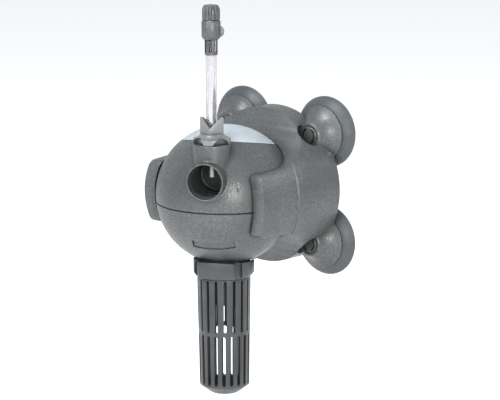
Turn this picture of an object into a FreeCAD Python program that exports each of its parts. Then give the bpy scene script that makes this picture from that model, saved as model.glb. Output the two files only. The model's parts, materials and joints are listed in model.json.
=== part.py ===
import FreeCAD
import Part
import math
import os

# Internal power filter: a ball-shaped pump held in a bracket that four suction cups hold on the
# inside of an aquarium's glass. Millimetres, +Z up. The bracket's own axis is Y, and +Y points at
# the glass. Everything is modelled about the ball's centre, then moved so that the origin lies on
# the glass, level with the ball. The pump's parts are modelled with the outlet along -Y, then
# panned about Z to the stored pose.

# Driving dimensions ---------------------------------------------------------------------------
BALL_R = 37.5
SHELL_WALL = 2.4
GLASS_Y = 51.5          # from the ball's centre to the glass
PAN_DEG = 24.0          # stored pan of the pump, towards +X
SEAM_Z = -3.4           # joint between the two ball shells
SEAM_GROOVE = 0.6       # height of the groove along the joint
CROWN_OFFSET = 27.6     # crown plane's distance from the centre
CROWN_LEAN_DEG = 11.6   # crown plane's lean, backwards

SOCKET_GAP = 0.3
SOCKET_R = BALL_R + SOCKET_GAP
GRIP_Y = -13.0          # the arms grip the ball as far forward as this
LEAD_IN = 8.0           # shift of the sphere that opens a gap beyond it, at the arms' tips
HOLDER_FRONT_R = 41.4
HOLDER_SIDE_R = 42.0
HOLDER_BACK_R = 42.7
HOLDER_BACK_Y = 46.0
HOLDER_HALF = 50.0      # half the bracket's height, at its flat ends
HOLDER_EDGE = 1.5       # chamfer round the back face
PAD_END_Y = 10.0        # the arm's pad ends here, in a small step
PAD_STEP = 0.6
ARM_HALF = 17.7         # half the arm's height
ARM_TIP_Y = -18.7
ARM_FACE_Y = -17.9      # the arm's end face, where its rounded corners begin
ARM_CORNER_R = 3.7
ARM_CORNER_DROP = 0.8   # how far the arm narrows by then
SCOOP_Z = 52.5          # centre of the concave front, above and below
SCOOP_R = SCOOP_Z - ARM_HALF
HOLDER_WALL = 3.0
RECESS_R = 26.0

CUP_X = 28.6
CUP_Z = 29.8
BOSS_Y = 35.5
BOSS_R = 6.9
BELL_R = 14.8
BELL_END_Y = 45.6
BELL_WALL = 1.6
CUP_RIM_R = 19.3
CUP_HOLLOW = 3.5
POCKET_GAP = 0.5        # round the boss, in the bracket's side
POCKET_REACH = 22.0
STUD_R = 4.6
STUD_FIT = 0.1
STUD_SLOT_R = 4.25      # ring-shaped key slot in the stud's head
STUD_SLOT_INNER_R = 3.1
STUD_SLOT_DEPTH = 1.7

NOZZLE_Z = 14.0
NOZZLE_R = 10.0
NOZZLE_BORE_R = 8.8
SPOUT_SOCKET_R = 9.2    # socket for a push-in adapter, at the mouth
SPOUT_SOCKET_DEPTH = 3.4
NOZZLE_MOUTH = 41.0
TOWER_FWD = 26.0
TOWER_R = 10.1
TOWER_TOP = 32.3
INTAKE_FWD = 5.0        # pump axis, forward of the ball's centre
RISER_FWD = 24.5        # upright passage from the pump chamber to the outlet
RISER_R = 5.5
RISER_BORE_R = 4.2
SUCTION_R = 9.5
SUCTION_BORE_R = 8.0
SPIGOT_R = 12.1
SPIGOT_BORE_R = 10.4

GLAND_DEG = 64.0        # the cord's gland, below the horizontal, at the back
GLAND_R = 4.2
GLAND_TAIL_R = 3.6
GLAND_BORE_R = 2.4
GLAND_SEAT = BALL_R - 0.9

INDEX_DEG = 26.0        # the index line's place, round from the outlet
INDEX_W = 0.7
INDEX_DEPTH = 0.6
INDEX_Z0 = 7.8
INDEX_Z1 = 12.9

LABEL_DEG = 36.4        # the recess's place below the horizontal
LABEL_DEPTH = 0.8
LABEL_FADE = 6.0        # shift of its floor's centre, which makes it fade out

COLLAR_R = 16.3
FACET_HALF = 9.6        # the flat front lug, and how far forward it stands
FACET_FWD = 15.2
COLLAR_TOP = -33.6
COLLAR_END = -43.0
COLLAR_GAPS_DEG = (46.0, -52.0, 128.0, 232.0)
COLLAR_GAP_HALF = 2.0
COLLAR_TURN_DEG = 25.0  # bayonet turn, over which the collar clears the ball
COLLAR_STEPS = 5
CAGE_NECK_R = 14.0      # the collar's counterbore, which takes the cage's neck
CAGE_SEAT_Z = -39.6
CAGE_TOP_R = 14.3
CAGE_TOP_Z = -46.0
CAGE_END_R = 13.4
CAGE_WALL = 2.0
CAGE_SHOULDER_Z = -103.0
CAGE_END = -107.5
CAGE_FOOT_R = 9.0
UPPER_SLOTS = 18
UPPER_SLOT_W = 1.6
LOWER_SLOTS = 20
LOWER_SLOT_W = 1.9
UPPER_FIRST_DEG = -1.7
LOWER_FIRST_DEG = -3.7
SLOT_BREAK_Z = -73.4    # the plain band between the two rows of slots
BAND_HALF = 0.9
UPPER_SLOT_TOP = -43.8
LOWER_SLOT_END = -102.0
DRAIN_HOLES = 6
DRAIN_R = 0.9

MOTOR_Y = 6.0
MOTOR_R = 20.0
MOTOR_WALL = 2.0
MOTOR_Z0 = -12.9
MOTOR_Z1 = 20.0
WELL_R = 7.5            # well in the motor housing, in which the magnet turns
WELL_WALL = 1.5
WELL_TOP = 15.5
STACK_Z1 = 10.0         # thickness of the steel core
STACK_HALF = 16.0
COIL_Y0 = 13.0          # the core's rear leg, which carries the coil
COIL_Y1 = 19.0
BOBBIN_HALF = 7.6
BOBBIN_WALL = 1.0
CHAMBER_R = 17.0
CHAMBER_Z0 = -25.0
CHAMBER_Z1 = -13.0
CAVITY_R = 13.5
CAVITY_TOP = -15.0
IMPELLER_R = 11.0
IMPELLER_Z0 = -22.0
HUB_R = 3.5
VANES = 6
MAGNET_R = 6.7
SHAFT_R = 1.25
BUSH_R = 2.5
BUSH_SEAT_Z = -27.0     # floor of the lower bush's socket

TUBE_R = 2.8
TUBE_BORE_R = 1.9
TUBE_Z0 = 38.2
TUBE_Z1 = 87.0
INJECTOR_R = 1.25
INJECTOR_HOLE_R = 1.3   # air passage, down the middle of the tower
FITTING_STEM_R = 3.0
FITTING_STEM_Z = 27.6
FITTING_TURN_DEG = 4.0   # the fitting's notched corner, turned from the outlet's direction
FIT = 0.05              # running fit, on the radius
BIG = 200.0

ORIGIN = FreeCAD.Vector(0, 0, 0)
X_DIR = FreeCAD.Vector(1, 0, 0)
Y_DIR = FreeCAD.Vector(0, 1, 0)
Z_DIR = FreeCAD.Vector(0, 0, 1)


# Small builders -------------------------------------------------------------------------------
def vec(x, y, z):
    return FreeCAD.Vector(x, y, z)


def outline(place, start, steps):
    """Closed face: a step is an end point, or a pair of points, an arc's middle and its end."""
    edges = []
    here = place(*start)
    for step in steps + [start]:
        if isinstance(step[0], tuple):
            middle = place(*step[0])
            there = place(*step[1])
            edges.append(Part.Arc(here, middle, there).toShape())
        else:
            there = place(*step)
            if here.distanceToPoint(there) < 1e-7:
                continue
            edges.append(Part.LineSegment(here, there).toShape())
        here = there
    return Part.Face(Part.Wire(edges))


def turned_z(start, steps):
    """Turned about Z, from an outline of (radius, z)."""
    face = outline(lambda r, z: vec(r, 0, z), start, steps)
    return face.revolve(ORIGIN, Z_DIR, 360)


def turned_y(start, steps):
    """Turned about Y, from an outline of (radius, y)."""
    face = outline(lambda r, y: vec(r, y, 0), start, steps)
    return face.revolve(ORIGIN, Y_DIR, 360)


def post(r, z0, z1, x=0.0, y=0.0):
    return Part.makeCylinder(r, z1 - z0, vec(x, y, z0))


def pipe(r, bore, z0, z1, x=0.0, y=0.0):
    return post(r, z0, z1, x, y).cut(post(bore, z0, z1, x, y))


def rod_y(r, y0, y1, x=0.0, z=0.0):
    return Part.makeCylinder(r, y1 - y0, vec(x, y0, z), Y_DIR)


def block(x0, x1, y0, y1, z0, z1):
    return Part.makeBox(x1 - x0, y1 - y0, z1 - z0, vec(x0, y0, z0))


def half_space(z0, lean_deg=0.0):
    """Everything above a plane z0 from the centre, leaning backwards."""
    space = block(-BIG, BIG, -BIG, BIG, z0, BIG)
    space.rotate(ORIGIN, X_DIR, -lean_deg)
    return space


def ring_of(shape, count, x=0.0, y=0.0, first=0.0):
    """Copies of a shape, evenly spaced about a vertical line."""
    copies = []
    for index in range(count):
        copy = shape.copy()
        copy.rotate(vec(x, y, 0), Z_DIR, first + 360.0 / count * index)
        copies.append(copy)
    return copies


def save(name, shape, panned=False):
    shape = shape.removeSplitter()
    if panned:
        shape.rotate(ORIGIN, Z_DIR, PAN_DEG)
    shape.translate(vec(0, -GLASS_Y, 0))
    shape.exportStep("parts/" + name + ".step")
    box = shape.BoundBox
    print("%-22s solids %2d valid %s vol %9.1f  x %.1f..%.1f y %.1f..%.1f z %.1f..%.1f" % (
        name, len(shape.Solids), shape.isValid(), shape.Volume,
        box.XMin, box.XMax, box.YMin, box.YMax, box.ZMin, box.ZMax))


# The bracket and its cups ---------------------------------------------------------------------
def holder_side_outline():
    """Side view of the bracket: concave above and below, with arms reaching forwards."""
    top_y = math.sqrt(SCOOP_R ** 2 - (SCOOP_Z - HOLDER_HALF) ** 2)
    half = math.sqrt(0.5) * SCOOP_R
    edge = ARM_HALF - ARM_CORNER_DROP
    round_in = (1 - math.sqrt(0.5)) * ARM_CORNER_R
    middle_y = ARM_FACE_Y + round_in
    middle_z = edge - round_in
    steps = [
        (top_y, HOLDER_HALF),
        ((half, SCOOP_Z - half), (0.0, ARM_HALF)),
        (ARM_FACE_Y + ARM_CORNER_R, edge),
        ((middle_y, middle_z), (ARM_FACE_Y, edge - ARM_CORNER_R)),
        ((ARM_TIP_Y, 0.0), (ARM_FACE_Y, ARM_CORNER_R - edge)),
        ((middle_y, -middle_z), (ARM_FACE_Y + ARM_CORNER_R, -edge)),
        (0.0, -ARM_HALF),
        ((half, half - SCOOP_Z), (top_y, -HOLDER_HALF)),
        (HOLDER_BACK_Y, -HOLDER_HALF),
    ]
    return outline(lambda y, z: vec(-BIG / 2, y, z), (HOLDER_BACK_Y, HOLDER_HALF), steps)


def holder_drum():
    """The bracket's round body, before its side view is cut out: slightly wider at the back."""
    start_y = ARM_TIP_Y - 2
    drum = turned_y((0, start_y), [
        (HOLDER_FRONT_R, start_y), (HOLDER_FRONT_R, PAD_END_Y),
        (HOLDER_SIDE_R, PAD_END_Y + PAD_STEP), (HOLDER_BACK_R, HOLDER_BACK_Y - HOLDER_EDGE),
        (HOLDER_BACK_R - HOLDER_EDGE, HOLDER_BACK_Y), (0, HOLDER_BACK_Y)])
    side = holder_side_outline().extrude(vec(BIG, 0, 0))
    return drum.common(side)


def bell():
    """One bell, turned about its own axis, with the boss at its front."""
    return turned_y((0, BOSS_Y), [
        (BOSS_R - 0.6, BOSS_Y), (BOSS_R, BOSS_Y + 0.6),
        ((10.2, 41.4), (BELL_R, BELL_END_Y - 0.8)), (BELL_R, BELL_END_Y), (0, BELL_END_Y)])


def bell_hollow():
    floor_y = BOSS_Y + 2.0
    return turned_y((0, floor_y), [
        (BOSS_R - 1.4, floor_y), (BOSS_R - 0.8, floor_y + 0.8),
        ((9.0, 42.6), (BELL_R - BELL_WALL, BELL_END_Y)),
        (BELL_R - BELL_WALL, BELL_END_Y + 3.0), (0, BELL_END_Y + 3.0)])


def cup():
    """Rubber cup: a neck inside the bell, a flange and a shallow hollow against the glass."""
    neck_y = BOSS_Y + 2.05
    rim = CUP_RIM_R - 1.5
    bowl_r = (rim ** 2 + CUP_HOLLOW ** 2) / (2 * CUP_HOLLOW)
    bowl = Part.makeSphere(bowl_r, vec(0, GLASS_Y - CUP_HOLLOW + bowl_r, 0))
    body = turned_y((0, neck_y), [
        (5.2, neck_y), (5.8, neck_y + 0.9), ((8.6, 43.1), (BELL_R - BELL_WALL - 0.3, 46.1)),
        (BELL_R - 0.3, 46.2), ((17.3, 48.3), (CUP_RIM_R, GLASS_Y - 0.6)), (CUP_RIM_R, GLASS_Y),
        (0, GLASS_Y)])
    socket = turned_y((0, neck_y - 1), [
        (2.6, neck_y - 1), (2.6, 41.3), (3.5, 41.3), (3.5, 43.0), (2.6, 43.4), (0, 43.4)])
    return body.cut(socket).cut(bowl)


def stud():
    """Turn-to-lock stud: a slotted head flush in the boss, a shank and a snap flange."""
    head_y = BOSS_Y - 0.4
    body = turned_y((0, head_y), [
        (STUD_R - 0.5, head_y), (STUD_R, head_y + 0.5), (STUD_R, BOSS_Y + 1.9), (2.5, BOSS_Y + 1.9),
        (2.5, 41.4), (3.4, 41.4), (3.4, 42.6), (2.5, 43.2), (0, 43.2)])
    floor_y = head_y + STUD_SLOT_DEPTH
    slot = rod_y(STUD_SLOT_R, head_y, floor_y).cut(rod_y(STUD_SLOT_INNER_R, head_y, floor_y))
    bridge = block(-1.4, 1.4, head_y, floor_y, -BIG, BIG)
    return body.cut(slot.cut(bridge))


def cup_places():
    """Name, x and z of each corner's cup."""
    heights = {"lower": -CUP_Z, "upper": CUP_Z}
    sides = {"left": -CUP_X, "right": CUP_X}
    return [(row + "_" + side, sides[side], heights[row]) for side in sides for row in heights]


def boss_pocket(x, z):
    """Round pocket in front of a boss, slanting outwards until it leaves the bracket's side."""
    rim = Part.makeCircle(BOSS_R + POCKET_GAP, vec(x, BOSS_Y, z), Y_DIR)
    floor = Part.Face(Part.Wire(rim))
    out = vec(x, 0, z).normalize() * POCKET_REACH
    return floor.extrude(vec(out.x, -POCKET_REACH, out.z))


def build_holder():
    holder = holder_drum()
    hollows = []
    for _, x, z in cup_places():
        outer = bell()
        outer.translate(vec(x, 0, z))
        holder = holder.cut(boss_pocket(x, z)).fuse(outer)
        hollow = bell_hollow()
        hollow.translate(vec(x, 0, z))
        hollows.append(hollow)
        hollows.append(rod_y(STUD_R + STUD_FIT, BOSS_Y - 2, BOSS_Y + 3, x, z))
    rear = rod_y(RECESS_R, 20, HOLDER_BACK_Y + 1)
    rear = rear.cut(Part.makeSphere(SOCKET_R + HOLDER_WALL))
    lead_r = math.sqrt(SOCKET_R ** 2 + LEAD_IN ** 2 + 2 * LEAD_IN * GRIP_Y)
    lead_in = Part.makeSphere(lead_r, vec(0, -LEAD_IN, 0))
    holder = holder.cut(Part.makeSphere(SOCKET_R)).cut(lead_in).cut(rear)
    for hollow in hollows:
        holder = holder.cut(hollow)
    return holder


def build_cups():
    for name, x, z in cup_places():
        rubber = cup()
        rubber.translate(vec(x, 0, z))
        save("suction_cup_" + name, rubber)
        lock = stud()
        lock.translate(vec(x, 0, z))
        save("cup_stud_" + name, lock)


# The ball's shells ----------------------------------------------------------------------------
def ball_shell():
    return Part.makeSphere(BALL_R).cut(Part.makeSphere(BALL_R - SHELL_WALL))


def seam_groove():
    return post(BALL_R + 2, SEAM_Z - SEAM_GROOVE / 2, SEAM_Z + SEAM_GROOVE / 2).cut(
        post(BALL_R - 1.0, SEAM_Z - SEAM_GROOVE, SEAM_Z + SEAM_GROOVE))


def seal_ring(r=0.6):
    return Part.makeTorus(BALL_R - 1.75, r, vec(0, 0, SEAM_Z))


def crown_space():
    return half_space(CROWN_OFFSET, CROWN_LEAN_DEG)


def fitting_pocket():
    return post(TOWER_R + 0.1, TOWER_TOP, 60, 0, -TOWER_FWD)


def build_upper_shell():
    shell = ball_shell().cut(block(-BIG, BIG, -BIG, BIG, -BIG, SEAM_Z)).cut(crown_space())
    tower = post(TOWER_R, 8.0, TOWER_TOP, 0, -TOWER_FWD)
    nozzle = rod_y(NOZZLE_R, -NOZZLE_MOUTH, -15.0, 0, NOZZLE_Z)
    bead = post(0.55, NOZZLE_Z, TOWER_TOP, -TOWER_R, -TOWER_FWD)
    shell = shell.fuse([tower, nozzle, bead])
    cuts = [
        rod_y(NOZZLE_BORE_R, -NOZZLE_MOUTH - 1, -17.0, 0, NOZZLE_Z),
        rod_y(SPOUT_SOCKET_R, -NOZZLE_MOUTH - 1, -NOZZLE_MOUTH + SPOUT_SOCKET_DEPTH, 0, NOZZLE_Z),
        post(RISER_BORE_R, 0, NOZZLE_Z, 0, -RISER_FWD),
        post(INJECTOR_HOLE_R, NOZZLE_Z, 30, 0, -TOWER_FWD),
        post(FITTING_STEM_R + FIT, FITTING_STEM_Z - 0.6, 40, 0, -TOWER_FWD),
        fitting_pocket(),
        seam_groove(),
        seal_ring(),
        index_groove(),
    ]
    for tool in cuts:
        shell = shell.cut(tool)
    return shell


def index_groove():
    """Short upright index line to the right of the outlet."""
    skin = Part.makeSphere(BALL_R + 1).cut(Part.makeSphere(BALL_R - INDEX_DEPTH))
    line = block(-INDEX_W / 2, INDEX_W / 2, -BALL_R - 2, -BALL_R / 2, INDEX_Z0, INDEX_Z1)
    line.rotate(ORIGIN, Z_DIR, INDEX_DEG)
    return skin.common(line)


def build_crown():
    gap = 0.15
    cap = ball_shell().common(half_space(CROWN_OFFSET + gap, CROWN_LEAN_DEG))
    return cap.cut(post(TOWER_R + 0.1, 0, 60, 0, -TOWER_FWD))


def label_recess():
    """Plain oblong recess on the front of the lower shell, deep at its top and fading out below."""
    lean = math.radians(LABEL_DEG)
    fade = vec(0, math.sin(lean), -math.cos(lean)) * LABEL_FADE
    skin = Part.makeSphere(BALL_R + 1).cut(Part.makeSphere(BALL_R - LABEL_DEPTH / 2, fade))
    window = block(-10.2, 12.8, -BALL_R - 2, -BALL_R + 6, -2.5, 2.5)
    window.rotate(ORIGIN, X_DIR, LABEL_DEG)
    return skin.common(window)


def build_lower_shell():
    shell = ball_shell().common(block(-BIG, BIG, -BIG, BIG, -BIG, SEAM_Z))
    spigot = post(SPIGOT_R, -39.5, -33.0, 0, -INTAKE_FWD)
    shell = shell.fuse(spigot).cut(Part.makeSphere(BALL_R - SHELL_WALL))
    cuts = [
        post(SPIGOT_BORE_R, -45, -30, 0, -INTAKE_FWD),
        seam_groove(),
        seal_ring(),
        label_recess(),
        gland_rod(3.0, BALL_R - 6, BALL_R + 1),
        gland_rod(GLAND_R, GLAND_SEAT, BALL_R + 6),
    ]
    for tool in cuts:
        shell = shell.cut(tool)
    return shell


def gland_rod(r, near, far):
    """A rod along the gland's axis, between two distances from the ball's centre."""
    down = math.radians(GLAND_DEG)
    axis = vec(0, math.cos(down), -math.sin(down))
    return Part.makeCylinder(r, far - near, axis * near, axis)


def build_gland():
    """Strain relief: a collar seated in the shell and a slimmer tail, with the cord's bore."""
    collar_end = BALL_R + 2.0
    collar = gland_rod(GLAND_R, GLAND_SEAT, collar_end)
    tail = gland_rod(GLAND_TAIL_R, collar_end, BALL_R + 6.5)
    return collar.fuse(tail).cut(gland_rod(GLAND_BORE_R, BALL_R - 2, BALL_R + 8))


# Inside the ball ------------------------------------------------------------------------------
def build_motor_housing():
    """Open-topped can for the motor, with the rotor's blind well rising from its floor."""
    can = post(MOTOR_R, MOTOR_Z0, MOTOR_Z1, 0, MOTOR_Y)
    inner_r = MOTOR_R - MOTOR_WALL
    can = can.cut(post(inner_r, MOTOR_Z0 + MOTOR_WALL, MOTOR_Z1 + 1, 0, MOTOR_Y))
    well = post(WELL_R + WELL_WALL, MOTOR_Z0, WELL_TOP + WELL_WALL, 0, -INTAKE_FWD)
    well = well.common(post(MOTOR_R, MOTOR_Z0, MOTOR_Z1, 0, MOTOR_Y))
    return can.fuse(well).cut(post(WELL_R, MOTOR_Z0 - 1, WELL_TOP, 0, -INTAKE_FWD))


def coil_leg():
    return block(-STACK_HALF, STACK_HALF, COIL_Y0, COIL_Y1, 0, STACK_Z1)


def build_stator():
    """Laminated steel frame: two pole arms beside the well, joined by the coil's leg behind."""
    below, above = -1, STACK_Z1 + 1
    stack = block(-STACK_HALF, STACK_HALF, -6, COIL_Y1, 0, STACK_Z1)
    stack = stack.common(post(MOTOR_R - MOTOR_WALL - 0.1, 0, STACK_Z1, 0, MOTOR_Y))
    window = block(-9, 9, 0, COIL_Y0, below, above)
    pole_gap = block(-2, 2, -20, 5, below, above)
    well = post(WELL_R + WELL_WALL + FIT, below, above, 0, -INTAKE_FWD)
    return stack.cut(well).cut(window).cut(pole_gap)


def build_coil():
    """Bobbin with its two flanges, and the block of wire wound between them."""
    inner = BOBBIN_HALF - BOBBIN_WALL
    core = block(-BOBBIN_HALF, BOBBIN_HALF, COIL_Y0 - 1, COIL_Y1 + 1, -1, STACK_Z1 + 1)
    ends = [block(x, x + BOBBIN_WALL, COIL_Y0 - 3, COIL_Y1 + 3, -4, STACK_Z1 + 4)
            for x in (-BOBBIN_HALF, inner)]
    bobbin = core.fuse(ends).cut(coil_leg())
    winding = block(-inner, inner, COIL_Y0 - 2.7, COIL_Y1 + 2.7, -3.7, STACK_Z1 + 3.7)
    return bobbin, winding.cut(core)


def build_chamber():
    """Volute round the impeller, with a channel forwards to the riser."""
    lobe = block(-5.5, 5.5, -32, -INTAKE_FWD, -21, CHAMBER_Z1)
    body = post(CHAMBER_R, CHAMBER_Z0, CHAMBER_Z1, 0, -INTAKE_FWD).fuse(lobe)
    body = body.common(Part.makeSphere(BALL_R - SHELL_WALL - 0.2))
    cuts = [
        post(CAVITY_R, CHAMBER_Z0 - 1, CAVITY_TOP, 0, -INTAKE_FWD),
        block(-4, 4, -28, -INTAKE_FWD, -20, CAVITY_TOP),
        post(RISER_BORE_R, CAVITY_TOP - 1, CHAMBER_Z1 + 1, 0, -RISER_FWD),
        post(WELL_R, CAVITY_TOP - 1, CHAMBER_Z1 + 1, 0, -INTAKE_FWD),
    ]
    for tool in cuts:
        body = body.cut(tool)
    return body


def build_riser():
    pipe_top = pipe(RISER_R, RISER_BORE_R, CHAMBER_Z1, 8.0, 0, -RISER_FWD)
    return pipe_top.cut(rod_y(NOZZLE_R, -40, -10, 0, NOZZLE_Z))


def build_suction_tube():
    """Inlet tube, a flange that closes the chamber, and a spider with the bush's blind socket."""
    flange_z = CHAMBER_Z0 - 2.0
    spider_z = CHAMBER_Z0 - 3.0
    tube = pipe(SUCTION_R, SUCTION_BORE_R, -58, flange_z, 0, -INTAKE_FWD)
    flange = pipe(CAVITY_R, SUCTION_BORE_R, flange_z, CHAMBER_Z0, 0, -INTAKE_FWD)
    hub = post(4.0, spider_z, CHAMBER_Z0, 0, -INTAKE_FWD)
    arm = block(0, SUCTION_BORE_R + 0.5, -INTAKE_FWD - 0.7, -INTAKE_FWD + 0.7, spider_z, CHAMBER_Z0)
    body = tube.fuse([flange, hub] + ring_of(arm, 3, 0, -INTAKE_FWD, 30.0))
    return body.cut(post(BUSH_R, BUSH_SEAT_Z, CHAMBER_Z0 + 1, 0, -INTAKE_FWD))


def build_rotor():
    """Six-vaned impeller, and the round magnet that stands on its hub."""
    vane_z = IMPELLER_Z0 + 5.5
    disc = post(IMPELLER_R, -17.2, -16.0, 0, -INTAKE_FWD)
    hub = post(HUB_R, IMPELLER_Z0, CHAMBER_Z1, 0, -INTAKE_FWD)
    vane = block(HUB_R - 1, IMPELLER_R, -INTAKE_FWD - 0.5, -INTAKE_FWD + 0.5, IMPELLER_Z0, vane_z)
    bore = post(SHAFT_R + FIT, -30, 20, 0, -INTAKE_FWD)
    impeller = disc.fuse([hub] + ring_of(vane, VANES, 0, -INTAKE_FWD)).cut(bore)
    magnet = post(MAGNET_R, CHAMBER_Z1, 11.5, 0, -INTAKE_FWD).cut(bore)
    return impeller, magnet


def build_inside():
    save("motor_housing", build_motor_housing(), True)
    save("motor_lid", post(MOTOR_R, MOTOR_Z1, MOTOR_Z1 + 2, 0, MOTOR_Y), True)
    save("stator_core", build_stator(), True)
    bobbin, winding = build_coil()
    save("coil_bobbin", bobbin, True)
    save("coil_winding", winding, True)
    save("pump_chamber", build_chamber(), True)
    save("riser_pipe", build_riser(), True)
    save("suction_tube", build_suction_tube(), True)
    impeller, magnet = build_rotor()
    save("impeller", impeller, True)
    save("rotor_magnet", magnet, True)
    save("rotor_shaft", post(SHAFT_R, -26.5, 14.5, 0, -INTAKE_FWD), True)
    save("upper_bush", pipe(WELL_R, SHAFT_R, 12.0, WELL_TOP, 0, -INTAKE_FWD), True)
    save("lower_bush", pipe(BUSH_R, SHAFT_R, BUSH_SEAT_Z, -23.5, 0, -INTAKE_FWD), True)


# The intake -----------------------------------------------------------------------------------
def build_collar():
    """Bayonet ring: a broad flat lug in front, a lug at each side and the rear, gaps between."""
    bore = SPIGOT_R + 0.1
    core_r = COLLAR_R - 1.5
    core = turned_z((bore, COLLAR_TOP), [
        (core_r, COLLAR_TOP), (core_r, COLLAR_END), (CAGE_NECK_R, COLLAR_END),
        (CAGE_NECK_R, CAGE_SEAT_Z), (bore, CAGE_SEAT_Z)])
    rim = turned_z((core_r - 0.5, COLLAR_TOP), [
        (COLLAR_R - 0.5, COLLAR_TOP), (COLLAR_R, COLLAR_TOP - 0.5), (COLLAR_R, COLLAR_END + 2.0),
        (COLLAR_R - 1.3, COLLAR_END + 0.2), (core_r - 0.5, COLLAR_END + 0.2)])
    facet = block(-FACET_HALF, FACET_HALF, -FACET_FWD, -5, COLLAR_END + 0.6, COLLAR_TOP)
    reach = facet.common(pipe(COLLAR_R + 2.5, CAGE_NECK_R, COLLAR_END, COLLAR_TOP))
    for angle in COLLAR_GAPS_DEG:
        gap = block(-COLLAR_GAP_HALF, COLLAR_GAP_HALF, -BIG, -core_r + 0.02, -BIG, BIG)
        gap.rotate(ORIGIN, Z_DIR, angle)
        rim = rim.cut(gap)
    rim = rim.cut(block(-FACET_HALF, FACET_HALF, -BIG, -FACET_FWD, -BIG, BIG))
    ring = core.fuse([rim, reach]).cut(post(bore, CAGE_SEAT_Z, COLLAR_TOP + 1)).cut(
        post(CAGE_NECK_R, COLLAR_END - 1, CAGE_SEAT_Z))
    ring.translate(vec(0, -INTAKE_FWD, 0))
    pivot = vec(0, -INTAKE_FWD, 0)
    for step in range(COLLAR_STEPS + 1):
        ball = Part.makeSphere(BALL_R + 0.4)
        ball.rotate(pivot, Z_DIR, -COLLAR_TURN_DEG * step / COLLAR_STEPS)
        ring = ring.cut(ball)
    return ring


def cage_slot(width, z0, z1):
    """One upright slot with round ends, through the cage's wall."""
    end = width / 2
    straight = block(-end, end, -20, -8, z0 + end, z1 - end)
    tips = [rod_y(end, -20, -8, 0, z) for z in (z0 + end, z1 - end)]
    return straight.fuse(tips)


def build_strainer():
    """Tapered cage, closed at its foot, with two rows of slots and a ring of drain holes."""
    inner = CAGE_END_R - CAGE_WALL
    foot = CAGE_FOOT_R - 1.6
    neck_z = CAGE_SEAT_Z - 0.3
    neck_r = CAGE_NECK_R - 0.1
    body = turned_z((11.9, neck_z), [
        (neck_r, neck_z), (neck_r, COLLAR_END - 0.2), (CAGE_TOP_R, COLLAR_END - 0.4),
        (CAGE_TOP_R, CAGE_TOP_Z), (CAGE_END_R, CAGE_SHOULDER_Z), (CAGE_FOOT_R, CAGE_END + 1.0),
        (foot, CAGE_END), (0, CAGE_END), (0, CAGE_END + CAGE_WALL), (foot, CAGE_END + CAGE_WALL),
        (inner, CAGE_SHOULDER_Z + 0.5), (CAGE_TOP_R - CAGE_WALL, CAGE_TOP_Z)])
    upper = cage_slot(UPPER_SLOT_W, SLOT_BREAK_Z + BAND_HALF, UPPER_SLOT_TOP)
    lower = cage_slot(LOWER_SLOT_W, LOWER_SLOT_END, SLOT_BREAK_Z - BAND_HALF)
    slots = ring_of(upper, UPPER_SLOTS, first=UPPER_FIRST_DEG)
    slots += ring_of(lower, LOWER_SLOTS, first=LOWER_FIRST_DEG)
    drains = ring_of(post(DRAIN_R, CAGE_END - 1, CAGE_END + 3, 4.6, 0), DRAIN_HOLES)
    body = body.cut(slots + drains)
    body.translate(vec(0, -INTAKE_FWD, 0))
    return body


# Air supply -----------------------------------------------------------------------------------
def build_air_fitting():
    """Four-sided winged fitting: a flared skirt arched between its corners, and a notched top."""
    corner = 6.3
    shoulder = 37.4
    skirt = turned_z((TUBE_R + FIT, shoulder), [
        (corner - 0.3, shoulder), ((7.4, 36.0), (9.8, 35.0)), (9.8, 32.5), (FITTING_STEM_R, 32.5),
        (FITTING_STEM_R, FITTING_STEM_Z), (INJECTOR_HOLE_R, FITTING_STEM_Z), (INJECTOR_HOLE_R, 38.0),
        (TUBE_R + FIT, 38.0)])
    half = corner * math.sqrt(0.5)
    top = block(-half, half, -half, half, shoulder - 0.5, 46.0)
    top.rotate(ORIGIN, Z_DIR, 45.0)
    top = top.cut(post(TUBE_R + FIT, shoulder - 1, 47))
    nipple = pipe(TUBE_BORE_R - 0.1, INJECTOR_HOLE_R, 37.5, 44.5)
    arches = ring_of(rod_y(5.3, -12, -6.6, 0, 30.6), 4, first=45.0)
    waists = ring_of(post(4.0, 30, 40, 11.6, 0), 4, first=45.0)
    body = skirt.fuse([top, nipple])
    for tool in arches + waists:
        body = body.cut(tool)
    notch = outline(lambda x, z: vec(x, -20, z), (-5.4, 46.5), [(0, 40.7), (5.4, 46.5)])
    body = body.cut(notch.extrude(vec(0, 40, 0)))
    body.rotate(ORIGIN, Z_DIR, FITTING_TURN_DEG)
    body.translate(vec(0, -TOWER_FWD, 0))
    return body


def build_tube_sleeve():
    """Collet that grips the tube's top: a ring with six upright slots."""
    body = pipe(3.4, TUBE_R + FIT, 79.0, 87.2)
    slot = block(-0.85, 0.85, -5, -1, 80.4, 88.0)
    body = body.cut(ring_of(slot, 6, first=8.0))
    body.translate(vec(0, -TOWER_FWD, 0))
    return body


def build_valve_body():
    body = turned_z((1.2, 79.5), [
        (1.5, 79.5), (1.85, 80.5), (1.85, 87.3), (4.2, 87.3), (5.0, 88.6), (5.0, 96.4), (4.4, 97.4),
        (2.4, 97.4), (2.4, 94.0), (1.2, 93.0)])
    lug = rod_y(2.9, -1.4, 1.4, 0, 91.2).cut(block(-BIG, 0, -BIG, BIG, -BIG, BIG))
    lug.translate(vec(3.9, 0, 0))
    lug.rotate(ORIGIN, Z_DIR, 15.0)
    body = body.fuse(lug.cut(post(2.6, 86, 96)))
    body.translate(vec(0, -TOWER_FWD, 0))
    return body


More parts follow.
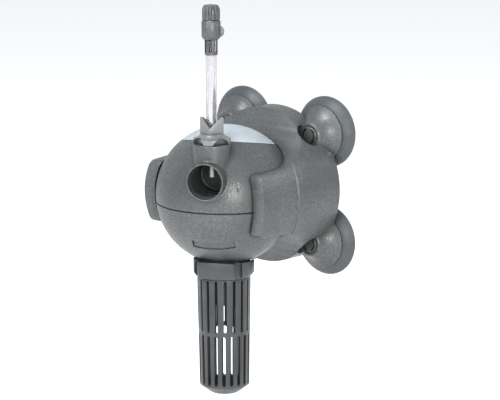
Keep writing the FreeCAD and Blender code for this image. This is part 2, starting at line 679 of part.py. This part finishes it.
def build_valve_knob():
    knob = turned_z((0, 94.5), [
        (0.6, 94.5), (2.3, 95.6), (2.3, 97.6), (4.7, 97.6), (4.7, 103.0), (3.7, 105.0), (0, 105.0)])
    flute = Part.makeCylinder(1.0, 9, vec(5.2, 0, 97.5), vec(-0.12, 0, 1))
    knob = knob.cut(ring_of(flute, 9) + [post(0.8, 94, 106)])
    knob.translate(vec(0, -TOWER_FWD, 0))
    return knob


def build_air_parts():
    save("injector_tip", pipe(INJECTOR_R, 0.7, 14.3, 27.3, 0, -TOWER_FWD), True)
    save("air_fitting", build_air_fitting(), True)
    save("air_tube", pipe(TUBE_R, TUBE_BORE_R, TUBE_Z0, TUBE_Z1, 0, -TOWER_FWD), True)
    save("tube_sleeve", build_tube_sleeve(), True)
    save("valve_body", build_valve_body(), True)
    save("valve_knob", build_valve_knob(), True)


def main():
    os.makedirs("parts", exist_ok=True)
    save("holder", build_holder())
    build_cups()
    save("upper_shell", build_upper_shell(), True)
    save("crown_cap", build_crown(), True)
    save("lower_shell", build_lower_shell(), True)
    save("shell_seal", seal_ring(0.55), True)
    save("cable_gland", build_gland(), True)
    build_inside()
    save("intake_collar", build_collar(), True)
    save("strainer", build_strainer(), True)
    build_air_parts()


main()
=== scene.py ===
import json
import math

import bmesh
import bpy
from mathutils import Matrix, Vector


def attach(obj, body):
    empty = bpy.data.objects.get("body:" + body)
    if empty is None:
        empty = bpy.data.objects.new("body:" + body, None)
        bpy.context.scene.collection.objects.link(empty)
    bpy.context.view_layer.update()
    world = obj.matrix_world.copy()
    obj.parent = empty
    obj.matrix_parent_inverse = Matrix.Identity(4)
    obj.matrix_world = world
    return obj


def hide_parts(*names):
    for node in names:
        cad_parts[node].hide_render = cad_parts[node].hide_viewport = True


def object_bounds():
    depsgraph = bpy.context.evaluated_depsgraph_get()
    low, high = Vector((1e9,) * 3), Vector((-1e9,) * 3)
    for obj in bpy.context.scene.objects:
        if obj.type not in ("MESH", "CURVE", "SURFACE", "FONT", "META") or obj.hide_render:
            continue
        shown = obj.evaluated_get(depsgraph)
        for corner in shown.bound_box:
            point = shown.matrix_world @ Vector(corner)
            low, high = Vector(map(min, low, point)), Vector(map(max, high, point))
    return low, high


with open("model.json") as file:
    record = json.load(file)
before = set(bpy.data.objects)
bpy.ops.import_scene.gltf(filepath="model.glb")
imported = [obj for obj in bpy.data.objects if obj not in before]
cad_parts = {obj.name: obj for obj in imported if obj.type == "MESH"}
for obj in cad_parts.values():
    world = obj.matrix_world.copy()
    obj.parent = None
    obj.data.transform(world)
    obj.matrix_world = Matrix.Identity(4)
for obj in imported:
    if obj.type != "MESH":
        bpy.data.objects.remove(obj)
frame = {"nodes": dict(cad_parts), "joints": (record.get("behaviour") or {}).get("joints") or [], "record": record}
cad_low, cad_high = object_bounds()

MM = 0.001
NODES = frame["nodes"]
SLOTS = {s["node"]: s["material_slot"] for s in frame["record"]["subparts"]}
BODIES = {n: body for body, names in frame["record"]["behaviour"]["bodies"].items() for n in names}
BALL = Vector(next(j["pos_m"] for j in frame["joints"] if j["name"] == "ball_pan"))


# Camera, floor and light ------------------------------------------------------------------------
CAMERA_AZIMUTH = math.radians(39.26)
CAMERA_ELEVATION = math.radians(11.63)
CAMERA_ROLL = math.radians(-0.30)
CAMERA_DISTANCE = 1.4587
CAMERA_RIGHT = 0.0129
CAMERA_UP = -0.0033
CAMERA_CLIP_END = 50.0
LENS = 196.4
SENSOR_WIDTH = 36.0

# Each softbox: name, azimuth and elevation in degrees, distance and size in metres, watts, colour.
WHITE = (1.0, 1.0, 1.0)
LAMPS = (
    ("overhead_box", 0, 62, 1.0, 0.35, 10.0, WHITE),
    ("key_box", 54, 13, 1.2, 0.36, 11.0, (1.0, 0.98, 0.95)),
    ("fill_box", 2, 20, 1.4, 0.60, 9.0, (0.93, 0.97, 1.0)),
    ("rim_box", 120, 20, 1.2, 0.35, 2.5, WHITE),
)
WORLD_COLOUR = (0.97, 0.98, 1.0)
WORLD_STRENGTH = 0.88

FLOOR_DROP = 0.04
FLOOR_HALF = 9.0
FLOOR_COLOUR = (0.97, 0.97, 0.97)
FLOOR_ROUGHNESS = 0.9


def camera_axes():
    """Right, up and back, as unit vectors, of the camera looking at the ball."""
    cos_a, sin_a = math.cos(CAMERA_AZIMUTH), math.sin(CAMERA_AZIMUTH)
    cos_e, sin_e = math.cos(CAMERA_ELEVATION), math.sin(CAMERA_ELEVATION)
    right = Vector((cos_a, sin_a, 0))
    back = Vector((sin_a * cos_e, -cos_a * cos_e, sin_e))
    return right, back.cross(right), back


def add_camera():
    """The scene's camera, a long lens that faces the ball from its front right."""
    right, up, back = camera_axes()
    data = bpy.data.cameras.new("camera")
    data.lens = LENS
    data.sensor_width = SENSOR_WIDTH
    data.clip_end = CAMERA_CLIP_END
    camera = bpy.data.objects.new("camera", data)
    turn = Matrix((right, up, back)).transposed().to_4x4()
    place = BALL + back * CAMERA_DISTANCE + right * CAMERA_RIGHT + up * CAMERA_UP
    camera.matrix_world = Matrix.Translation(place) @ turn @ Matrix.Rotation(CAMERA_ROLL, 4, "Z")
    bpy.context.scene.collection.objects.link(camera)
    bpy.context.scene.camera = camera


def add_area(name, azimuth, elevation, distance, size, power, colour):
    """A square softbox aimed at the ball; azimuth counts from the front towards +X."""
    a, e = math.radians(azimuth), math.radians(elevation)
    away = Vector((math.sin(a) * math.cos(e), -math.cos(a) * math.cos(e), math.sin(e)))
    data = bpy.data.lights.new(name, "AREA")
    data.size = size
    data.energy = power
    data.color = colour
    lamp = bpy.data.objects.new(name, data)
    lamp.location = BALL + away * distance
    lamp.rotation_euler = away.to_track_quat("Z", "Y").to_euler()
    bpy.context.scene.collection.objects.link(lamp)


def add_studio():
    """Softboxes and an even, slightly cool surround."""
    for lamp in LAMPS:
        add_area(*lamp)
    world = bpy.data.worlds.new("studio")
    world.use_nodes = True
    shade = world.node_tree.nodes["Background"]
    shade.inputs["Color"].default_value = (*WORLD_COLOUR, 1)
    shade.inputs["Strength"].default_value = WORLD_STRENGTH
    bpy.context.scene.world = world
    bpy.context.scene.view_settings.view_transform = "Standard"


def add_floor():
    """A wide sheet of pale paper below the strainer, with room for it to be pulled down."""
    z = cad_low.z - FLOOR_DROP
    mesh = bpy.data.meshes.new("floor")
    corners = [
        (-FLOOR_HALF, -FLOOR_HALF, z),
        (FLOOR_HALF, -FLOOR_HALF, z),
        (FLOOR_HALF, FLOOR_HALF, z),
        (-FLOOR_HALF, FLOOR_HALF, z),
    ]
    mesh.from_pydata(corners, [], [(0, 1, 2, 3)])
    floor = bpy.data.objects.new("floor", mesh)
    bpy.context.scene.collection.objects.link(floor)
    material = bpy.data.materials.new("floor_paper")
    material.use_nodes = True
    shader = material.node_tree.nodes["Principled BSDF"]
    shader.inputs["Base Color"].default_value = (*FLOOR_COLOUR, 1)
    shader.inputs["Roughness"].default_value = FLOOR_ROUGHNESS
    mesh.materials.append(material)


# Materials --------------------------------------------------------------------------------------
# Noise scales are in cells per metre, and bump depths and painted-shade reaches in metres.
# A span is the range of noise values that a tone or finish is spread over.
NOISE_SPAN = (0.3, 0.7)

# How open a spot is where the painted shade in corners and gaps is full, and where there is none.
PAINTED_SHADE_FROM = 0.30
PAINTED_SHADE_TO = 0.95
PAINTED_SHADE_SAMPLES = 8
SHADED_CREVICE_ROUGHNESS = 0.95
SHADED_CREVICE_DULLS_BELOW = 0.8
MOULD_PAINTED_SHADE_REACH = 0.012
MOULD_PAINTED_SHADE_LEFT = 0.10
SMOOTH_PAINTED_SHADE_REACH = 0.005
SMOOTH_PAINTED_SHADE_LEFT = 0.35

# Spark-grained mouldings.
SPARK_SCALE = 1150.0
SPARK_SPAN = (0.35, 0.68)
SPARK_DETAIL = 2.0
SPARK_HARDNESS = 0.7
SPARK_DEPTH = 0.00009
SPARK_BUMP = 0.8
SPARK_ROUGHNESS = (0.50, 0.30)
MOTTLE_SCALE = 38.0
MOTTLE_SPAN = (0.35, 0.65)
MOTTLE_DETAIL = 4.0
MOTTLE_MOST = 0.45
MOTTLE_TONE = 0.8
RIPPLE_SCALE = 170.0
RIPPLE_DEPTH = 0.0003
RIPPLE_BUMP = 0.3
MOULD_SHINE = 0.6
MOULD_WEAR = 0.06
MOULD_WEAR_TONE = 1.9
EDGE_FROM = 0.505
MOULD_EDGE_TO = 0.56

# Satin plastic and rubber.
FLOW_SCALE = 45.0
FLOW_DETAIL = 5.0
SCUFF_SCALE = 260.0
SCUFF_DEPTH = 0.00004
SCUFF_BUMP = 0.5
SMOOTH_WEAR_TONE = 1.8
SMOOTH_EDGE_TO = 0.57

# Clear hose.
HOSE_FLOW_SCALE = 60.0
HOSE_FLOW_DETAIL = 2.0
HOSE_WAVE_SCALE = 50.0
HOSE_WAVE_DETAIL = 1.0
HOSE_WAVE_DEPTH = 0.0001
HOSE_WAVE_BUMP = 0.15
HOSE_ROUGHNESS = (0.01, 0.05)
HOSE_TONES = ((0.82, 0.81, 0.835), (0.92, 0.915, 0.93))
HOSE_EDGE_TONE = (0.22, 0.21, 0.24)
HOSE_EDGE_BLEND = 0.5
HOSE_EDGE_FROM = 0.25
HOSE_EDGE_TO = 0.85
HOSE_EDGE_MOST = 0.85
HOSE_CLEARNESS = 0.96
HOSE_IOR = 1.24

# Drawn and rolled metal.
LINE_SCALE = 900.0
LINE_DEPTH = 0.0001
LINE_BUMP = 0.6
METAL_ROUGHNESS = (0.3, 0.5)

# Dark and pale tone of each spark-grained slot.
MOULDED_SLOTS = {
    "body_plastic": ((0.022, 0.026, 0.027), (0.075, 0.082, 0.084)),
    "stud_plastic": ((0.036, 0.041, 0.042), (0.100, 0.107, 0.109)),
    "valve_plastic": ((0.022, 0.026, 0.027), (0.072, 0.078, 0.080)),
}

# Dark and pale tone of each satin slot, and what differs from smooth_plastic's own values.
SMOOTH_SLOTS = {
    "crown_plastic": dict(
        dark=(0.22, 0.255, 0.28), pale=(0.34, 0.39, 0.42), rough=(0.45, 0.6), worn=0.0
    ),
    "cup_rubber": dict(
        dark=(0.026, 0.031, 0.035), pale=(0.050, 0.058, 0.065), rough=(0.40, 0.55), shine=0.4
    ),
    "collar_plastic": dict(
        dark=(0.018, 0.021, 0.023), pale=(0.036, 0.041, 0.044), shine=0.35
    ),
    "strainer_plastic": dict(
        dark=(0.016, 0.019, 0.021), pale=(0.036, 0.040, 0.043), shine=0.4
    ),
    "fitting_plastic": dict(dark=(0.080, 0.086, 0.087), pale=(0.130, 0.137, 0.138)),
    "tip_plastic": dict(dark=(0.30, 0.31, 0.31), pale=(0.38, 0.39, 0.39)),
    "gland_rubber": dict(
        dark=(0.018, 0.018, 0.018), pale=(0.030, 0.030, 0.030), rough=(0.5, 0.7)
    ),
    "inner_plastic": dict(dark=(0.050, 0.055, 0.058), pale=(0.085, 0.091, 0.095)),
    "magnet_ferrite": dict(dark=(0.030, 0.030, 0.032), pale=(0.060, 0.060, 0.062)),
    "shaft_ceramic": dict(
        dark=(0.75, 0.74, 0.70), pale=(0.85, 0.84, 0.80), rough=(0.1, 0.2)
    ),
}

# Dark and pale tone of each metal slot, and the stretch of its lines along each axis.
METAL_SLOTS = {
    "lamination_steel": ((0.4, 0.4, 0.41), (0.6, 0.6, 0.6), (0.2, 0.2, 3.0)),
    "copper_wire": ((0.5, 0.2, 0.09), (0.75, 0.35, 0.16), (1.0, 0.3, 0.3)),
}


def scaled(tone, factor):
    """The tone made brighter or darker, each channel at most 1."""
    return tuple(min(1.0, factor * channel) for channel in tone)


class Shading:
    """Builds one node material; its textures are laid out in the frame's own coordinates."""

    def __init__(self, name):
        self.material = bpy.data.materials.new(name)
        self.material.use_nodes = True
        self.tree = self.material.node_tree
        self.shader = self.tree.nodes["Principled BSDF"]
        self.place = self.tree.nodes.new("ShaderNodeTexCoord").outputs["Object"]

    def link(self, source, target):
        """Joins a node's output to another's input."""
        self.tree.links.new(source, target)

    def feed(self, source, name):
        """Joins a node's output to the shader's named input."""
        self.link(source, self.shader.inputs[name])

    def set(self, name, value):
        """Gives the shader's named input one value all over."""
        self.shader.inputs[name].default_value = value

    def noise(self, scale, detail=3.0, rough=0.55):
        """Noise over the object, about 0.5 on average."""
        node = self.tree.nodes.new("ShaderNodeTexNoise")
        node.inputs["Scale"].default_value = scale
        node.inputs["Detail"].default_value = detail
        node.inputs["Roughness"].default_value = rough
        self.link(self.place, node.inputs["Vector"])
        return node.outputs["Fac"]

    def ramp(self, value, low, high, out_low, out_high):
        """The value taken from one range to another, held at the ends."""
        node = self.tree.nodes.new("ShaderNodeMapRange")
        for index, number in enumerate((low, high, out_low, out_high)):
            node.inputs[index + 1].default_value = number
        self.link(value, node.inputs[0])
        return node.outputs[0]

    def mix(self, factor, first, second):
        """Colour between two others, each a colour or a socket."""
        node = self.tree.nodes.new("ShaderNodeMix")
        node.data_type = "RGBA"
        self.link(factor, node.inputs["Factor"])
        for socket, value in ((node.inputs[6], first), (node.inputs[7], second)):
            if isinstance(value, tuple):
                socket.default_value = (*value, 1)
            else:
                self.link(value, socket)
        return node.outputs[2]

    def bump(self, height, strength, distance, after=None):
        """A normal raised by the height, on top of an earlier one if given."""
        node = self.tree.nodes.new("ShaderNodeBump")
        node.inputs["Strength"].default_value = strength
        node.inputs["Distance"].default_value = distance
        self.link(height, node.inputs["Height"])
        if after is not None:
            self.link(after, node.inputs["Normal"])
        return node.outputs["Normal"]

    def worn_edges(self, tone, edge_to, most, edge_tone):
        """The tone, rubbed towards a paler one where the surface is sharply convex."""
        pointed = self.tree.nodes.new("ShaderNodeNewGeometry").outputs["Pointiness"]
        return self.mix(self.ramp(pointed, EDGE_FROM, edge_to, 0.0, most), tone, edge_tone)

    def painted_crevice_shade(self, reach, left):
        """1 in the open, falling to left in corners and gaps: ambient occlusion used as painted shade."""
        gap = self.tree.nodes.new("ShaderNodeAmbientOcclusion")
        gap.samples = PAINTED_SHADE_SAMPLES
        gap.inputs["Distance"].default_value = reach
        return self.ramp(gap.outputs["AO"], PAINTED_SHADE_FROM, PAINTED_SHADE_TO, left, 1.0)

    def finish(self, colour, rough, reach, left):
        """Colour darkened by painted shade in corners and gaps, and roughness raised there."""
        unshaded = self.painted_crevice_shade(reach, left)
        dimmed = self.tree.nodes.new("ShaderNodeVectorMath")
        dimmed.operation = "SCALE"
        self.link(colour, dimmed.inputs[0])
        self.link(unshaded, dimmed.inputs["Scale"])
        self.feed(dimmed.outputs["Vector"], "Base Color")
        dulled = self.tree.nodes.new("ShaderNodeMath")
        dulled.operation = "MAXIMUM"
        self.link(rough, dulled.inputs[0])
        crevice_rough = self.ramp(unshaded, left, SHADED_CREVICE_DULLS_BELOW, SHADED_CREVICE_ROUGHNESS, 0.0)
        self.link(crevice_rough, dulled.inputs[1])
        self.feed(dulled.outputs["Value"], "Roughness")


def moulded(name, dark, pale):
    """Spark-grained moulded plastic: speckle, slow mottling, worn edges and a fine pitted bump."""
    s = Shading(name)
    grains = s.noise(SPARK_SCALE, SPARK_DETAIL, SPARK_HARDNESS)
    speckle = s.ramp(grains, *SPARK_SPAN, 0.0, 1.0)
    mottle = s.ramp(s.noise(MOTTLE_SCALE, MOTTLE_DETAIL), *MOTTLE_SPAN, 0.0, MOTTLE_MOST)
    tinted = s.mix(mottle, s.mix(speckle, dark, pale), scaled(dark, MOTTLE_TONE))
    worn_tone = s.worn_edges(tinted, MOULD_EDGE_TO, MOULD_WEAR, scaled(pale, MOULD_WEAR_TONE))
    roughness = s.ramp(speckle, 0, 1, *SPARK_ROUGHNESS)
    # Painted shade: the base colour is darkened in corners and gaps by ambient occlusion.
    s.finish(worn_tone, roughness, MOULD_PAINTED_SHADE_REACH, MOULD_PAINTED_SHADE_LEFT)
    pits = s.bump(grains, SPARK_BUMP, SPARK_DEPTH)
    s.feed(s.bump(s.noise(RIPPLE_SCALE), RIPPLE_BUMP, RIPPLE_DEPTH, pits), "Normal")
    s.set("Specular IOR Level", MOULD_SHINE)
    return s.material


def smooth_plastic(name, dark, pale, rough=(0.28, 0.42), worn=0.2, shine=0.5):
    """Satin plastic or rubber: soft flow marks, faint scuffs and slightly rubbed edges."""
    s = Shading(name)
    flow = s.ramp(s.noise(FLOW_SCALE, FLOW_DETAIL), *NOISE_SPAN, 0.0, 1.0)
    scuffs = s.noise(SCUFF_SCALE)
    tone = s.mix(flow, dark, pale)
    worn_tone = s.worn_edges(tone, SMOOTH_EDGE_TO, worn, scaled(pale, SMOOTH_WEAR_TONE))
    roughness = s.ramp(scuffs, *NOISE_SPAN, *rough)
    # Painted shade: the base colour is darkened in corners and gaps by ambient occlusion.
    s.finish(worn_tone, roughness, SMOOTH_PAINTED_SHADE_REACH, SMOOTH_PAINTED_SHADE_LEFT)
    s.feed(s.bump(scuffs, SCUFF_BUMP, SCUFF_DEPTH), "Normal")
    s.set("Specular IOR Level", shine)
    return s.material


def clear_hose(name):
    """Clear soft PVC: transmits, with a faint lavender tone, slow waviness and greyer edges."""
    s = Shading(name)
    flow = s.ramp(s.noise(HOSE_FLOW_SCALE, HOSE_FLOW_DETAIL), *NOISE_SPAN, 0.0, 1.0)
    rim = s.tree.nodes.new("ShaderNodeLayerWeight")
    rim.inputs["Blend"].default_value = HOSE_EDGE_BLEND
    edge = s.ramp(rim.outputs["Facing"], HOSE_EDGE_FROM, HOSE_EDGE_TO, 0.0, HOSE_EDGE_MOST)
    s.feed(s.mix(edge, s.mix(flow, *HOSE_TONES), HOSE_EDGE_TONE), "Base Color")
    s.feed(s.ramp(flow, 0, 1, *HOSE_ROUGHNESS), "Roughness")
    waves = s.noise(HOSE_WAVE_SCALE, HOSE_WAVE_DETAIL)
    s.feed(s.bump(waves, HOSE_WAVE_BUMP, HOSE_WAVE_DEPTH), "Normal")
    s.set("Transmission Weight", HOSE_CLEARNESS)
    s.set("IOR", HOSE_IOR)
    return s.material


def metal(name, dark, pale, stretch):
    """Drawn or rolled metal, with fine lines and stains."""
    s = Shading(name)
    mapping = s.tree.nodes.new("ShaderNodeMapping")
    mapping.inputs["Scale"].default_value = stretch
    s.link(s.place, mapping.inputs["Vector"])
    s.place = mapping.outputs["Vector"]
    lines = s.noise(LINE_SCALE)
    s.feed(s.mix(s.ramp(lines, *NOISE_SPAN, 0, 1), dark, pale), "Base Color")
    s.feed(s.ramp(lines, *NOISE_SPAN, *METAL_ROUGHNESS), "Roughness")
    s.feed(s.bump(lines, LINE_BUMP, LINE_DEPTH), "Normal")
    s.set("Metallic", 1.0)
    return s.material


def make_materials():
    """One material for each slot of the record, by the slot's name."""
    made = {slot: moulded(slot, *tones) for slot, tones in MOULDED_SLOTS.items()}
    made.update({slot: smooth_plastic(slot, **facts) for slot, facts in SMOOTH_SLOTS.items()})
    made.update({slot: metal(slot, *facts) for slot, facts in METAL_SLOTS.items()})
    made["clear_tube"] = clear_hose("clear_tube")
    return made


# Pieces -----------------------------------------------------------------------------------------
WELD_DISTANCE = 0.002 * MM
BEVEL_SEGMENTS = 2
CRISP_ANGLE = math.radians(60.0)
SMOOTHING = 0.5

HOLDER_EASE = 0.45 * MM
HOLDER_EASE_ANGLE = 28.0
CASING_VOXEL = 0.42 * MM
CASING_ROUNDS = 3

# Width of the rounding on the sharp edges of each smaller moulding.
EASED = {
    "intake_collar": 0.22 * MM,
    "strainer": 0.22 * MM,
    "air_fitting": 0.18 * MM,
    "valve_body": 0.14 * MM,
    "valve_knob": 0.18 * MM,
    "tube_sleeve": 0.14 * MM,
}


def add_piece(name, mesh, node):
    """A piece that stands for a CAD node, with its body and material slot."""
    piece = bpy.data.objects.new(name, mesh)
    bpy.context.scene.collection.objects.link(piece)
    mesh.materials.clear()
    mesh.materials.append(MATERIALS[SLOTS[node]])
    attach(piece, BODIES[node])
    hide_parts(node)
    return piece


def welded(name, node):
    """A new mesh of the CAD node's surface, its faces joined at their shared corners."""
    bm = bmesh.new()
    bm.from_mesh(NODES[node].data)
    bmesh.ops.remove_doubles(bm, verts=bm.verts, dist=WELD_DISTANCE)
    mesh = bpy.data.meshes.new(name)
    bm.to_mesh(mesh)
    bm.free()
    return mesh


def eased(name, node, width, angle=32.0):
    """The CAD node with its sharp edges rounded off by a fine bevel, as moulded parts have."""
    mesh = welded(name, node)
    piece = add_piece(name, mesh, node)
    bevel = piece.modifiers.new("ease", "BEVEL")
    bevel.width = width
    bevel.segments = BEVEL_SEGMENTS
    bevel.limit_method = "ANGLE"
    bevel.angle_limit = math.radians(angle)
    bevel.harden_normals = True
    mesh.shade_smooth()
    mesh.set_sharp_from_angle(angle=CRISP_ANGLE)


def softened(name, node, voxel, rounds):
    """The CAD node rebuilt as one even skin with every edge and junction rounded off."""
    work = bpy.data.objects.new("work", welded(name, node))
    bpy.context.scene.collection.objects.link(work)
    skin = work.modifiers.new("skin", "REMESH")
    skin.mode = "VOXEL"
    skin.voxel_size = voxel
    soften = work.modifiers.new("soften", "SMOOTH")
    soften.factor = SMOOTHING
    soften.iterations = rounds
    graph = bpy.context.evaluated_depsgraph_get()
    result = bpy.data.meshes.new_from_object(work.evaluated_get(graph))
    bpy.data.objects.remove(work)
    result.name = name
    result.shade_smooth()
    add_piece(name, result, node)


def finish_cad_nodes():
    """The CAD nodes that show as they are take their slots' materials."""
    for name, node in NODES.items():
        node.data.materials.clear()
        node.data.materials.append(MATERIALS[SLOTS[name]])


MATERIALS = make_materials()
add_camera()
add_studio()
add_floor()
finish_cad_nodes()
eased("holder_moulding", "holder", HOLDER_EASE, HOLDER_EASE_ANGLE)
softened("upper_casing", "upper_shell", CASING_VOXEL, CASING_ROUNDS)
for node, width in EASED.items():
    eased(node + "_piece", node, width)
